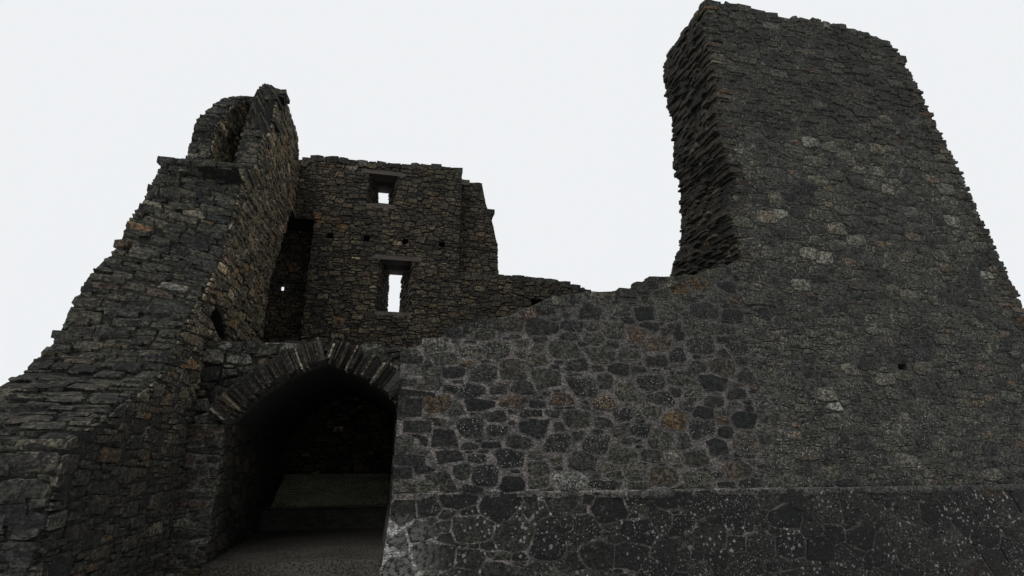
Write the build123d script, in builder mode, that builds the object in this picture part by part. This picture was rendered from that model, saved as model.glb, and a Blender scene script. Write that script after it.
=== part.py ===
from build123d import *
import math
import os

# Ruined castle keep in rubble masonry, roofless, its front corner fallen.
# Front wall faces -Y, origin on the ground at the middle of the footprint.
# Heights are given above the floor of the vaulted chamber. The ground falls away
# from there, and the walls go down to one level base, where the origin is.

# Plan, at the level of the chamber's floor
keep_width = 17130  # outer face of the left wall to outer face of the right wall
keep_depth = 6800  # face of the front wall to outer face of the back wall
stub_reach = 2800  # how far the left wall's broken stub stands out in front
front_thick = 1500
back_thick = 1600
left_thick = 1430
right_thick = 1430
low_front_length = 5800  # low part of the front wall, from its jamb to the tall wall
footing_step = 60
footing_spread = 160  # how far the footing's end stands out from the jamb at the base
base_depth = 850  # from the chamber's floor down to the base
batter = 0.06  # how far the outer faces lean in for each unit of height

# Vault beside the front wall's jamb
pier_width = 450
vault_span = 2250
springing_wall = 900  # wall that carries the vault behind the jamb
west_springing = 1700
east_springing = 2020
crown_from_pier = 1200
crown_height = 2600
arch_radius = 2300
vault_top = 2840
ring_depth = 300
ring_front = 120
ring_back = 560
haunch_front = 260
west_slabs = 15
east_slabs = 12
mortar = 9
side_wall_end = 4200  # where the vault's west side wall stops and a side recess opens

# Raised end of the vaulted chamber
kerb_front = 3100
kerb_width = 280
kerb_height = 335
end_footing_top = 880
end_footing_step = 1300  # how far the sloping footing comes out from the end wall

# Front wall heights
footing_top = 800
low_wall_start = 2740
tall_wall_foot = 4600
tall_wall_split = 7400
tall_wall_top = 10480
tall_wall_rake = 2400  # how far the right edge leans in over its height
putlog_width = 200
putlog_height = 110
putlog_depth = 600
putlog_from_tall = 3080
putlog_level = 2760

# Left wall
stub_end_top = 1370
stub_meets = 2100  # from the stub's end to the foot of the raked broken end
ledge_height = 5650
ledge_front = 400
leaf_foot = 6050
leaf_front = 1200
leaf_thick = 320
slot_width = 400
scarcement = 80  # the inner leaf steps back this much at the upper floor
scarcement_height = 6900
leaf_top = 8800
leaf_back_top = 8350
hollow_at = 200  # from the front wall's face, along the left wall's inner face
hollow_length = 900
hollow_level = 2950
hollow_height = 460
hollow_depth = 420

# Tall recess in the back left corner
recess_front = 3380
recess_bend = 4700  # its broken front edge is upright below this and leans back above
recess_slant = 1220
recess_into_back = 450
recess_skin = 350
recess_head = 6900
recess_lintel_thick = 140
chink_width = 150
chink_height = 220
chink_level = 5250
chink_from_inner = 380

# Back wall, with places measured from the left wall's inner face
lower_window_at = 2070
lower_window_width = 870
lower_window_sill_height = 4640
lower_window_head = 5990
lower_slit = 350
upper_window_at = 1660
upper_window_width = 740
upper_window_sill_height = 7480
upper_window_head = 8350
upper_slit = 300
upper_light_height = 310
main_leaf_end = 4080
outer_leaf_end = 5230
outer_leaf_setback = 550
low_part_end = 7500
low_part_drop = 230  # from the lower window's head down to the top of the low part
low_part_fall = 210  # how much its top comes down towards the east
outer_leaf_start = 300  # above the low part, where the outer leaf's broken edge starts
head_masonry = 320  # left standing over the upper window
head_rise = 100  # how much higher that masonry is at its east end
sill_thick = 90
lintel_thick = 120
lintel_bearing = 200
lintel_depth = 420
joist_hole = 150
joist_depth = 260
joist_rise = 440  # from the lower window's head
joist_places = [-1650, -770, 190, 1130]  # from the middle of the lower window
socket_width = 560
socket_height = 420
socket_depth = 600
socket_level = 4760
socket_at = 6000
east_wall_split = 11900
east_corner_top = 4150
right_wall_front_top = 3000

# Places worked out from the sizes above
west_face = -keep_width / 2
east_face = keep_width / 2
front_face = (stub_reach - keep_depth) / 2
back_face = front_face + keep_depth
back_inner = back_face - back_thick
stub_end = front_face - stub_reach
left_inner = west_face + left_thick
right_inner = east_face - right_thick
vault_west = left_inner + pier_width
jamb = vault_west + vault_span
vault_east = jamb + springing_wall
tall_wall_start = jamb + low_front_length
crown = vault_west + crown_from_pier
slot_east = left_inner - leaf_thick
slot_west = slot_east - slot_width
recess_east = left_inner + recess_into_back
recess_back = back_face - batter * recess_head - recess_skin
main_end = left_inner + main_leaf_end
low_end = left_inner + low_part_end
low_part_top = lower_window_head - low_part_drop
back_wall_top = upper_window_head + head_masonry


def seen_from_front(y):
    """Upright plane at y; its own axes are the object's X and the height above the chamber's floor."""
    return Plane(origin=(0, y, base_depth), x_dir=(1, 0, 0), z_dir=(0, -1, 0))


def seen_from_right(x):
    """Upright plane at x; its own axes are the object's Y and the height above the chamber's floor."""
    return Plane(origin=(x, 0, base_depth), x_dir=(0, 1, 0), z_dir=(1, 0, 0))


def level(height):
    """Level plane at a height above the chamber's floor."""
    return Plane.XY.offset(base_depth + height)


def face(plane, points):
    """Flat face inside a closed outline of straight edges."""
    with BuildSketch(plane) as outline:
        with BuildLine():
            Polyline(*points, close=True)
        make_face()
    return outline.sketch


def across(near, far, points, mode=Mode.ADD):
    """Masonry with an outline in X and Z, from y = near to y = far."""
    extrude(face(seen_from_front(near), points), amount=near - far, mode=mode)


def along(left, right, points, mode=Mode.ADD):
    """Masonry with an outline in Y and Z, from x = left to x = right."""
    extrude(face(seen_from_right(left), points), amount=right - left, mode=mode)


def upright(bottom, top, points, mode=Mode.ADD):
    """Masonry with a plan outline in X and Y, from z = bottom to z = top."""
    extrude(face(level(bottom), points), amount=top - bottom, mode=mode)


def block(x, y, z, mode=Mode.ADD):
    """Squared block between pairs of X, Y and Z limits."""
    plan = [(x[0], y[0]), (x[1], y[0]), (x[1], y[1]), (x[0], y[1])]
    upright(z[0], z[1], plan, mode)


def broken(start, end, steps):
    """Points of a broken edge: shares of the way from start to end, in both directions."""
    (x0, z0), (x1, z1) = start, end
    return [start] + [(x0 + (x1 - x0) * a, z0 + (z1 - z0) * b) for a, b in steps] + [end]


def ragged(x, bottom, top, steps):
    """Points of a ragged upright edge: offsets from x at shares of the height."""
    return [(x + offset, bottom + (top - bottom) * share) for offset, share in steps]


def trim_to_batter():
    """Cuts a piece back to the keep's outer faces, which lean in as they rise."""
    levels = []
    for height in (-base_depth, tall_wall_top):
        inset = batter * height
        west, east = west_face + inset, east_face - inset
        south, north = stub_end + inset, back_face - inset
        corners = [(west, south), (east, south), (east, north), (west, north)]
        levels.append(face(level(height), corners))
    loft(levels, mode=Mode.INTERSECT)


def finish(piece, name):
    piece.part.label = name
    export_step(piece.part, f"parts/{name}.step")


os.makedirs("parts", exist_ok=True)

# Front wall
front_back = front_face + front_thick


def rake(height):
    """Right edge of the front wall, which is broken back as it rises."""
    return east_face - tall_wall_rake * height / tall_wall_top


def footing_end(height):
    """Left end of the front footing, which spreads out as it goes down."""
    return jamb - footing_spread * (footing_top - height) / (footing_top + base_depth)


with BuildPart() as front_footing:
    across(
        front_face - footing_step,
        front_back,
        [
            (footing_end(-base_depth), -base_depth),
            (east_face, -base_depth),
            (east_face, 0),
            (rake(footing_top), footing_top),
            (jamb, footing_top),
        ],
    )
    outer_edge = front_footing.edges().filter_by(Axis.X).group_by(Axis.Z)[-1].sort_by(Axis.Y)[0]
    chamfer(outer_edge, footing_step / 2)
finish(front_footing, "front_footing")

low_top = broken(
    (jamb, low_wall_start),
    (tall_wall_start, tall_wall_foot),
    [(0.11, 0.15), (0.15, 0.24), (0.28, 0.34), (0.4, 0.53), (0.5, 0.59), (0.61, 0.62), (0.72, 0.78), (0.84, 0.82)],
)
with BuildPart() as front_wall_low:
    across(
        front_face,
        front_back,
        low_top + [(tall_wall_start, footing_top), (jamb, footing_top)],
    )
finish(front_wall_low, "front_wall_low")

putlog_x = tall_wall_start + putlog_from_tall
with BuildPart() as front_wall_east:
    across(
        front_face,
        front_back,
        [
            (tall_wall_start, footing_top),
            (rake(footing_top), footing_top),
            (rake(tall_wall_foot), tall_wall_foot),
            (tall_wall_start, tall_wall_foot),
        ],
    )
    block(
        (putlog_x - putlog_width / 2, putlog_x + putlog_width / 2),
        (front_face, front_face + putlog_depth),
        (putlog_level, putlog_level + putlog_height),
        Mode.SUBTRACT,
    )
finish(front_wall_east, "front_wall_east")


def tall_outline(bottom, top, left_steps, head_steps):
    """Outline of half of the tall wall: broken left edge, then its head, then the raked edge."""
    head = [(rake(top) - back, top - drop) for back, drop in head_steps]
    return ragged(tall_wall_start, bottom, top, left_steps) + head + [(rake(bottom), bottom)]


with BuildPart() as tall_wall_lower:
    near = tall_outline(
        tall_wall_foot,
        tall_wall_split,
        [(90, 0), (60, 0.2), (-80, 0.31), (170, 0.6), (0, 0.8), (-70, 1)],
        [(0, 0)],
    )
    far = tall_outline(
        tall_wall_foot,
        tall_wall_split,
        [(-550, 0), (-440, 0.14), (-220, 0.29), (-120, 0.54), (-70, 0.8), (-200, 1)],
        [(0, 0)],
    )
    loft([face(seen_from_front(front_face), near), face(seen_from_front(front_back), far)], ruled=True)
finish(tall_wall_lower, "tall_wall_lower")

wall_head = [(3850, 50), (3300, 130), (2760, 140), (2180, 60), (2050, 0), (1920, 60)]
wall_head += [(1050, 130), (210, 300), (0, 650)]
with BuildPart() as tall_wall_upper:
    near = tall_outline(
        tall_wall_split,
        tall_wall_top,
        [(-70, 0), (10, 0.26), (-20, 0.6), (-70, 0.78), (90, 0.96)],
        wall_head,
    )
    far = tall_outline(
        tall_wall_split,
        tall_wall_top,
        [(-200, 0), (-90, 0.23), (-180, 0.53), (-220, 0.75), (10, 0.96)],
        wall_head,
    )
    loft([face(seen_from_front(front_face), near), face(seen_from_front(front_back), far)], ruled=True)
finish(tall_wall_upper, "tall_wall_upper")


# Vault
west_foot = Vector(vault_west, west_springing)
east_foot = Vector(jamb, east_springing)
crown_point = Vector(crown, crown_height)


def arc_centre(left, right, radius):
    """Centre below the chord of an arc that rises over it."""
    chord = right - left
    down = Vector(chord.Y, -chord.X).normalized()
    middle = (left + right) * 0.5
    return middle + down * math.sqrt(radius**2 - (chord.length / 2) ** 2)


def arc_points(left, right, radius, further=0.0):
    """Start, middle and end of an arc over the chord, moved outward by a distance."""
    centre = arc_centre(left, right, radius)
    middle = (left + right) * 0.5
    rays = [(p - centre).normalized() for p in (left, middle, right)]
    return [centre + ray * (radius + further) for ray in rays]


def haunch(near, far, foot, sides):
    """Fill between one half of the arch and the level top, sides being its outline beyond the arch."""
    ends = (foot, crown_point) if foot.X < crown else (crown_point, foot)
    start, middle, end = arc_points(*ends, arch_radius)
    first, last = (start, end) if foot.X < crown else (end, start)
    with BuildSketch(seen_from_front(near)) as fill:
        with BuildLine():
            ThreePointArc(first, middle, last)
            Polyline(last, *sides, first)
        make_face()
    extrude(fill.sketch, amount=near - far)


def ring_cut(foot):
    """Room for the ring of slabs at the mouth of the vault."""
    ends = (foot, crown_point) if foot.X < crown else (crown_point, foot)
    centre = arc_centre(*ends, arch_radius)
    near, far = front_face + haunch_front, front_face + ring_back
    low, high = arc_points(*ends, arch_radius, ring_depth)[0::2]
    with BuildSketch(seen_from_front(near)) as room:
        with BuildLine():
            ThreePointArc(*arc_points(*ends, arch_radius, ring_depth))
            Polyline(high, (centre.X, centre.Y), low)
        make_face()
    extrude(room.sketch, amount=near - far, mode=Mode.SUBTRACT)


with BuildPart() as vault_west_wall:
    block(
        (left_inner, vault_west),
        (front_face + ring_front, front_face + side_wall_end),
        (-base_depth, west_springing),
    )
finish(vault_west_wall, "vault_west_wall")

with BuildPart() as vault_east_wall:
    block((jamb, vault_east), (front_back, back_inner), (-base_depth, east_springing))
finish(vault_east_wall, "vault_east_wall")

with BuildPart() as vault_west_haunch:
    haunch(
        front_face + haunch_front,
        back_inner,
        west_foot,
        [(crown, vault_top), (left_inner, vault_top), (left_inner, west_springing)],
    )
    ring_cut(west_foot)
finish(vault_west_haunch, "vault_west_haunch")

with BuildPart() as vault_east_haunch:
    haunch(
        front_face + haunch_front,
        back_inner,
        east_foot,
        [(crown, vault_top), (jamb, vault_top)],
    )
    block((jamb, vault_east), (front_back, back_inner), (east_springing, vault_top))
    ring_cut(east_foot)
finish(vault_east_haunch, "vault_east_haunch")


def arch_slabs(left, right, count):
    """Thin slabs that radiate round one half of the arch, with mortar joints between them."""
    centre = arc_centre(left, right, arch_radius)
    start, end = (math.atan2((p - centre).Y, (p - centre).X) for p in (left, right))
    step = (end - start) / count
    gap = math.copysign(mortar / arch_radius / 2, step)
    for index in range(count):
        spread = (start + index * step + gap, start + (index + 1) * step - gap)
        corners = [
            (centre.X + reach * math.cos(a), centre.Y + reach * math.sin(a))
            for reach, a in (
                (arch_radius, spread[0]),
                (arch_radius + ring_depth, spread[0]),
                (arch_radius + ring_depth, spread[1]),
                (arch_radius, spread[1]),
            )
        ]
        uneven = ring_front * (index * 5 % 7) / 9
        across(front_face + uneven, front_face + ring_back, corners)


with BuildPart() as arch_slabs_west:
    arch_slabs(west_foot, crown_point, west_slabs)
finish(arch_slabs_west, "arch_slabs_west")

with BuildPart() as arch_slabs_east:
    arch_slabs(crown_point, east_foot, east_slabs)
    block(
        (jamb, vault_east),
        (front_face, front_back),
        (east_springing - ring_depth, vault_top),
        Mode.SUBTRACT,
    )
finish(arch_slabs_east, "arch_slabs_east")

kerb_back = front_face + kerb_front + kerb_width
with BuildPart() as chamber_floor:
    across(
        front_face,
        front_back,
        [
            (vault_west, -base_depth),
            (footing_end(-base_depth), -base_depth),
            (footing_end(0), 0),
            (vault_west, 0),
        ],
    )
    block((vault_west, jamb), (front_back, kerb_back), (-base_depth, 0))
finish(chamber_floor, "chamber_floor")

with BuildPart() as chamber_kerb:
    block((vault_west, jamb), (front_face + kerb_front, kerb_back), (0, kerb_height))
finish(chamber_kerb, "chamber_kerb")

with BuildPart() as chamber_platform:
    block((vault_west, jamb), (kerb_back, back_inner), (-base_depth, kerb_height))
    block((left_inner, vault_west), (front_face + side_wall_end, back_inner), (-base_depth, kerb_height))
finish(chamber_platform, "chamber_platform")

with BuildPart() as chamber_end_footing:
    foot = back_inner - end_footing_step
    along(
        vault_west,
        jamb,
        [(foot, kerb_height), (back_inner, kerb_height), (back_inner, end_footing_top)],
    )
finish(chamber_end_footing, "chamber_end_footing")

# Left wall
stub_back = stub_end + stub_meets
leaf_start = front_face + leaf_front
recess_near = front_face + recess_front


def recess_edge(height):
    """Broken front edge of the corner recess: upright, then leaning back."""
    share = max(0, height - recess_bend) / (recess_head - recess_bend)
    return recess_near + recess_slant * share


with BuildPart() as left_stub_wall:
    along(
        west_face,
        left_inner,
        broken(
            (stub_end, stub_end_top),
            (stub_back, vault_top),
            [(0.33, 0.22), (0.65, 0.41), (0.8, 0.54), (0.95, 0.8)],
        )
        + [(stub_back, -base_depth), (stub_end, -base_depth)],
    )
    trim_to_batter()
finish(left_stub_wall, "left_stub_wall")

with BuildPart() as left_wall_base:
    block((west_face, left_inner), (stub_back, back_face), (-base_depth, vault_top))
    trim_to_batter()
finish(left_wall_base, "left_wall_base")

storey_back = [
    (leaf_start, leaf_foot),
    (recess_edge(leaf_foot), leaf_foot),
    (recess_near, recess_bend),
    (recess_near, vault_top),
]
storey_start = (stub_back, vault_top)
ledge_end = (front_face + ledge_front, ledge_height)
outer_break = [(0.12, 0.22), (0.5, 0.4), (0.56, 0.56), (0.78, 0.7), (0.95, 0.92)]
inner_break = [(0.4, 0.18), (0.85, 0.42), (0.97, 0.58), (1.05, 0.73), (1.25, 0.96)]
with BuildPart() as left_wall_first_storey:
    outer = face(seen_from_right(west_face), broken(storey_start, ledge_end, outer_break) + storey_back)
    inner = face(seen_from_right(left_inner), broken(storey_start, ledge_end, inner_break) + storey_back)
    loft([outer, inner], ruled=True)
    trim_to_batter()
    hollow_start = front_face + hollow_at
    along(
        left_inner - hollow_depth,
        left_inner,
        [
            (hollow_start, hollow_level + hollow_height * 0.4),
            (hollow_start + hollow_length * 0.15, hollow_level + hollow_height),
            (hollow_start + hollow_length * 0.6, hollow_level + hollow_height * 0.8),
            (hollow_start + hollow_length, hollow_level + hollow_height * 0.2),
            (hollow_start + hollow_length * 0.8, hollow_level),
        ],
        Mode.SUBTRACT,
    )
finish(left_wall_first_storey, "left_wall_first_storey")

with BuildPart() as recess_side_wall:
    along(
        west_face,
        slot_west,
        [
            (recess_near, vault_top),
            (back_face, vault_top),
            (back_face, leaf_foot),
            (recess_edge(leaf_foot), leaf_foot),
            (recess_near, recess_bend),
        ],
    )
    trim_to_batter()
finish(recess_side_wall, "recess_side_wall")

with BuildPart() as left_inner_leaf:
    along(
        slot_east,
        left_inner,
        [
            (leaf_start, leaf_foot),
            (leaf_start + leaf_front * 0.15, scarcement_height),
            (recess_edge(recess_head), scarcement_height),
            (recess_edge(leaf_foot), leaf_foot),
        ],
    )
finish(left_inner_leaf, "left_inner_leaf")

upper_leaf_back = [
    (back_inner, leaf_back_top),
    (back_inner, recess_head + recess_lintel_thick),
    (recess_edge(recess_head), recess_head + recess_lintel_thick),
    (recess_edge(recess_head), scarcement_height),
]
leaf_end = (back_inner - leaf_front / 2, leaf_top)
with BuildPart() as left_upper_leaf:
    slot_side = broken(
        (leaf_start + leaf_front * 0.15, scarcement_height),
        leaf_end,
        [(0.06, 0.42), (0.12, 0.62), (0.3, 0.9), (0.6, 1)],
    )
    room_side = broken(
        (leaf_start + leaf_front * 0.55, scarcement_height),
        leaf_end,
        [(0.12, 0.38), (0.14, 0.66), (0.3, 0.96), (0.6, 1)],
    )
    slot_face = face(seen_from_right(slot_east), slot_side + upper_leaf_back)
    room_face = face(seen_from_right(left_inner - scarcement), room_side + upper_leaf_back)
    loft([slot_face, room_face], ruled=True)
finish(left_upper_leaf, "left_upper_leaf")

with BuildPart() as left_outer_leaf:
    along(
        west_face,
        slot_west,
        [(back_face, leaf_back_top), (back_face, leaf_foot)]
        + broken(
            (leaf_start, leaf_foot),
            (recess_near - leaf_front / 4, leaf_top - scarcement),
            [(-0.03, 0.28), (0.16, 0.48), (0.4, 0.68)],
        ),
    )
    trim_to_batter()
finish(left_outer_leaf, "left_outer_leaf")

chink_x = left_inner - chink_from_inner
with BuildPart() as recess_back_leaf:
    block((slot_west, recess_east), (recess_back, back_face), (vault_top, recess_head))
    trim_to_batter()
    block(
        (chink_x, chink_x + chink_width),
        (recess_back, back_face),
        (chink_level, chink_level + chink_height),
        Mode.SUBTRACT,
    )
finish(recess_back_leaf, "recess_back_leaf")

with BuildPart() as recess_lintel:
    block(
        (slot_east, left_inner),
        (recess_edge(recess_head), back_inner),
        (recess_head, recess_head + recess_lintel_thick),
    )
finish(recess_lintel, "recess_lintel")

with BuildPart() as recess_head_wall:
    across(
        back_inner,
        back_face,
        [
            (slot_west, recess_head),
            (recess_east, recess_head),
            (recess_east, back_wall_top),
            (slot_west, leaf_back_top),
        ],
    )
    trim_to_batter()
finish(recess_head_wall, "recess_head_wall")

# Back wall
lower_west = left_inner + lower_window_at
lower_east = lower_west + lower_window_width
upper_west = left_inner + upper_window_at
upper_east = upper_west + upper_window_width


def splay(west, east, slit, head):
    """Plan of a window through the back wall: wide inside, narrow near the outer face at its head."""
    middle = (west + east) / 2
    narrow = back_face - batter * head
    return [
        (west, back_inner),
        (east, back_inner),
        (middle + slit / 2, narrow),
        (middle + slit / 2, back_face),
        (middle - slit / 2, back_face),
        (middle - slit / 2, narrow),
    ]


lower_splay = splay(lower_west, lower_east, lower_slit, lower_window_head)
upper_splay = splay(upper_west, upper_east, upper_slit, upper_window_head)


def west_pier(start, bottom, top, window):
    """Masonry on a window's west side."""
    upright(bottom, top, [(start, back_inner), window[0], window[5], window[4], (start, back_face)])
    trim_to_batter()


def east_pier(end, bottom, top, window):
    """Masonry on a window's east side."""
    upright(bottom, top, [window[1], (end, back_inner), (end, back_face), window[3], window[2]])
    trim_to_batter()


def lintel_room(window, head, mode):
    """Two flat slabs over a window, one at each face of the wall, or their beds."""
    narrow = window[2][1]
    for left, right, near, far in (
        (window[0][0], window[1][0], back_inner, back_inner + lintel_depth),
        (window[4][0], window[3][0], narrow - lintel_depth, back_face),
    ):
        block(
            (left - lintel_bearing, right + lintel_bearing),
            (near, far),
            (head, head + lintel_thick),
            mode,
        )


with BuildPart() as back_wall_base:
    block((left_inner, low_end), (back_inner, back_face), (-base_depth, vault_top))
    trim_to_batter()
finish(back_wall_base, "back_wall_base")

with BuildPart() as back_west_pier:
    west_pier(recess_east, vault_top, lower_window_head, lower_splay)
finish(back_west_pier, "back_west_pier")

with BuildPart() as back_east_pier:
    east_pier(main_end, vault_top, lower_window_head, lower_splay)
finish(back_east_pier, "back_east_pier")

with BuildPart() as back_sill_wall:
    upright(vault_top, lower_window_sill_height - sill_thick, lower_splay)
    trim_to_batter()
finish(back_sill_wall, "back_sill_wall")

with BuildPart() as lower_window_sill:
    upright(lower_window_sill_height - sill_thick, lower_window_sill_height, lower_splay)
    trim_to_batter()
finish(lower_window_sill, "lower_window_sill")

with BuildPart() as lower_window_lintels:
    lintel_room(lower_splay, lower_window_head, Mode.ADD)
    trim_to_batter()
finish(lower_window_lintels, "lower_window_lintels")

joist_level = lower_window_head + joist_rise
upper_bed = upper_window_sill_height - sill_thick
with BuildPart() as back_wall_middle:
    block(
        (recess_east, main_end),
        (back_inner, back_face),
        (lower_window_head, upper_window_sill_height),
    )
    trim_to_batter()
    lintel_room(lower_splay, lower_window_head, Mode.SUBTRACT)
    upright(upper_bed, upper_window_sill_height, upper_splay, Mode.SUBTRACT)
    for place in joist_places:
        middle = (lower_west + lower_east) / 2 + place
        block(
            (middle - joist_hole / 2, middle + joist_hole / 2),
            (back_inner, back_inner + joist_depth),
            (joist_level, joist_level + joist_hole),
            Mode.SUBTRACT,
        )
finish(back_wall_middle, "back_wall_middle")

with BuildPart() as back_upper_west_pier:
    west_pier(recess_east, upper_window_sill_height, upper_window_head, upper_splay)
finish(back_upper_west_pier, "back_upper_west_pier")

with BuildPart() as back_upper_east_pier:
    east_pier(main_end, upper_window_sill_height, upper_window_head, upper_splay)
finish(back_upper_east_pier, "back_upper_east_pier")

with BuildPart() as upper_window_sill:
    upright(upper_bed, upper_window_head, upper_splay)
    light_foot = upper_window_head - upper_light_height
    along(
        upper_west,
        upper_east,
        [
            (back_inner, upper_window_sill_height),
            (upper_splay[2][1], light_foot),
            (back_face, light_foot),
            (back_face, upper_window_head),
            (back_inner, upper_window_head),
        ],
        Mode.SUBTRACT,
    )
    trim_to_batter()
finish(upper_window_sill, "upper_window_sill")

with BuildPart() as upper_window_lintels:
    lintel_room(upper_splay, upper_window_head, Mode.ADD)
    trim_to_batter()
finish(upper_window_lintels, "upper_window_lintels")

with BuildPart() as back_wall_head:
    across(
        back_inner,
        back_face,
        broken(
            (recess_east, back_wall_top),
            (main_end, back_wall_top + head_rise),
            [(0.3, 0), (0.55, 0.3), (0.7, 1)],
        )
        + [(main_end, upper_window_head), (recess_east, upper_window_head)],
    )
    trim_to_batter()
    lintel_room(upper_splay, upper_window_head, Mode.SUBTRACT)
finish(back_wall_head, "back_wall_head")

outer_leaf_east = left_inner + outer_leaf_end
with BuildPart() as back_wall_low:
    across(
        back_inner,
        back_face,
        [(main_end, vault_top), (low_end, vault_top)]
        + broken((low_end, low_part_top - low_part_fall), (main_end, low_part_top), [(0.25, 1), (0.68, 1)]),
    )
    trim_to_batter()
    block(
        (left_inner + socket_at, left_inner + socket_at + socket_width),
        (back_inner, back_inner + socket_depth),
        (socket_level, socket_level + socket_height),
        Mode.SUBTRACT,
    )
finish(back_wall_low, "back_wall_low")

with BuildPart() as back_outer_leaf:
    across(
        back_inner + outer_leaf_setback,
        back_face,
        [(main_end, low_part_top), (outer_leaf_east, low_part_top)]
        + broken(
            (outer_leaf_east, low_part_top + outer_leaf_start),
            (main_end, back_wall_top),
            [(0.03, 0.31), (0.13, 0.52), (0.32, 0.77), (0.42, 1)],
        ),
    )
    trim_to_batter()
finish(back_outer_leaf, "back_outer_leaf")

split = left_inner + east_wall_split
split_top = (low_part_top + 2 * east_corner_top) / 3
with BuildPart() as back_wall_east:
    across(
        back_inner,
        back_face,
        [(low_end, -base_depth), (split, -base_depth)]
        + broken((split, split_top), (low_end, low_part_top - low_part_fall), [(0.3, 0.2), (0.7, 0.55)]),
    )
    trim_to_batter()
finish(back_wall_east, "back_wall_east")

with BuildPart() as back_wall_corner:
    across(
        back_inner,
        back_face,
        [(split, -base_depth), (east_face, -base_depth)]
        + broken((east_face, east_corner_top), (split, split_top), [(0.35, 0.3), (0.8, 0.6)]),
    )
    trim_to_batter()
finish(back_wall_corner, "back_wall_corner")

# Right wall
with BuildPart() as right_wall:
    along(
        right_inner,
        east_face,
        [(front_back, -base_depth), (back_inner, -base_depth)]
        + broken(
            (back_inner, east_corner_top),
            (front_back, right_wall_front_top),
            [(0.3, 0.15), (0.62, 0.7)],
        ),
    )
    trim_to_batter()
finish(right_wall, "right_wall")
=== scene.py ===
import math
import random

import bmesh
import bpy
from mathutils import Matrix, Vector
from mathutils.bvhtree import BVHTree


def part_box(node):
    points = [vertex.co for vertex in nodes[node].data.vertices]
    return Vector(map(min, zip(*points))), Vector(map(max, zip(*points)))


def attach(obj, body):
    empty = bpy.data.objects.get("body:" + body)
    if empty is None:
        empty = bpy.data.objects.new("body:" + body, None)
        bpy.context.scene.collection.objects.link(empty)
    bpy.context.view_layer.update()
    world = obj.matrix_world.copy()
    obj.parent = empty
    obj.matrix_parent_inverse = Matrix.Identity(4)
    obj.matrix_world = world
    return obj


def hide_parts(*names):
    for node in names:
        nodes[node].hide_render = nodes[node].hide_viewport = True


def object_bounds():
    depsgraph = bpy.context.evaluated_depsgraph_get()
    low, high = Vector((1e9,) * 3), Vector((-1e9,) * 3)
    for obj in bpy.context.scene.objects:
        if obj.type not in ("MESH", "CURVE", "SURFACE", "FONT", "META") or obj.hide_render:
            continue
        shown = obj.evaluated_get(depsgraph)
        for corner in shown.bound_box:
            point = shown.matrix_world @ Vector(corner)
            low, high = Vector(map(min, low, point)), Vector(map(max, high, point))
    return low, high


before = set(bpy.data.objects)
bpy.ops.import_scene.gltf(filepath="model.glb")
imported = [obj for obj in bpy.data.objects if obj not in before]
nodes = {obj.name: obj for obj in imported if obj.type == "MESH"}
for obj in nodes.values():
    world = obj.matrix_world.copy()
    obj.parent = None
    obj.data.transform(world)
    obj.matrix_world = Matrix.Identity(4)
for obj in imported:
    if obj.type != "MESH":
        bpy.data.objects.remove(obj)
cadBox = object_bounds()
print("frame loaded, its box is", cadBox)

# Ruined castle keep. The CAD solids are the mortared core of the walls, and
# every stone laid here stands a little proud of them. Metres, in the frame's axes.

stoneWork = {
    "seed": 11,
    "sunk": 0.025,  # how deep the back of a stone sits in the mortar
    "probe": 0.008,  # distance in front of and behind a face at which the walls are felt for
    "standOff": 1.5,  # distance in front of a broken face from which its stones are felt for
    "touch": 0.02,  # a wall this near a plane, or the side of the CAD box, counts as reaching it
    "margin": 0.0005,  # stones stay this far inside the CAD box
    "flush": 0.03,  # how far the core is drawn in where a wall reaches the side of the CAD box
    "leastFace": 0.12,  # smallest flat face that is laid with coursed stones, in square metres
    "bucket": 0.45,  # size of the squares in which a stone's neighbours are looked up
    "coarser": 2.2,  # stones on faces turned away from the approach side are this much larger
}
dice = random.Random(stoneWork["seed"])
nodeBox = {name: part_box(name) for name in nodes}
lowCorner = Vector(cadBox[0])
highCorner = Vector(cadBox[1])

# Places read from the frame
frontFace = nodeBox["front_wall_low"][0].y
frontBack = nodeBox["front_wall_low"][1].y
jamb = nodeBox["front_wall_low"][0].x
lowWallEnd = nodeBox["front_wall_low"][1].x
tallFoot = nodeBox["tall_wall_lower"][0].z
tallTop = nodeBox["tall_wall_upper"][1].z
leftInner = nodeBox["left_wall_base"][1].x
backInner = nodeBox["back_wall_base"][0].y
floorLevel = nodeBox["chamber_kerb"][0].z  # the floor of the vaulted chamber
footingTop = nodeBox["front_footing"][1].z
pierFront = nodeBox["vault_west_wall"][0].y
pierEnd = nodeBox["vault_west_wall"][1].x

# Nodes shown as dressed slabs rather than as rubble
slabNodes = {
    "lower_window_lintels": "lintel_stone",
    "upper_window_lintels": "lintel_stone",
    "recess_lintel": "lintel_stone",
    "lower_window_sill": "lintel_stone",
    "upper_window_sill": "lintel_stone",
    "arch_slabs_west": "slab_stone",
    "arch_slabs_east": "slab_stone",
    "chamber_kerb": "slab_stone",
    "chamber_end_footing": "gravel",
    "chamber_floor": "gravel",
}
gravelTops = {"chamber_platform", "vault_west_haunch", "vault_east_haunch"}  # rubble in front, gravel on top


# Materials

class Value:  # an output socket that can be used in sums
    def __init__(self, paint, socket):
        self.paint = paint
        self.socket = socket

    def combine(self, operation, first, second):
        return self.paint.node("ShaderNodeMath", {"operation": operation}, {0: first, 1: second})

    def __add__(self, other):
        return self.combine("ADD", self, other)

    def __sub__(self, other):
        return self.combine("SUBTRACT", self, other)

    def __rsub__(self, other):
        return self.combine("SUBTRACT", other, self)

    def __mul__(self, other):
        return self.combine("MULTIPLY", self, other)


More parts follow.
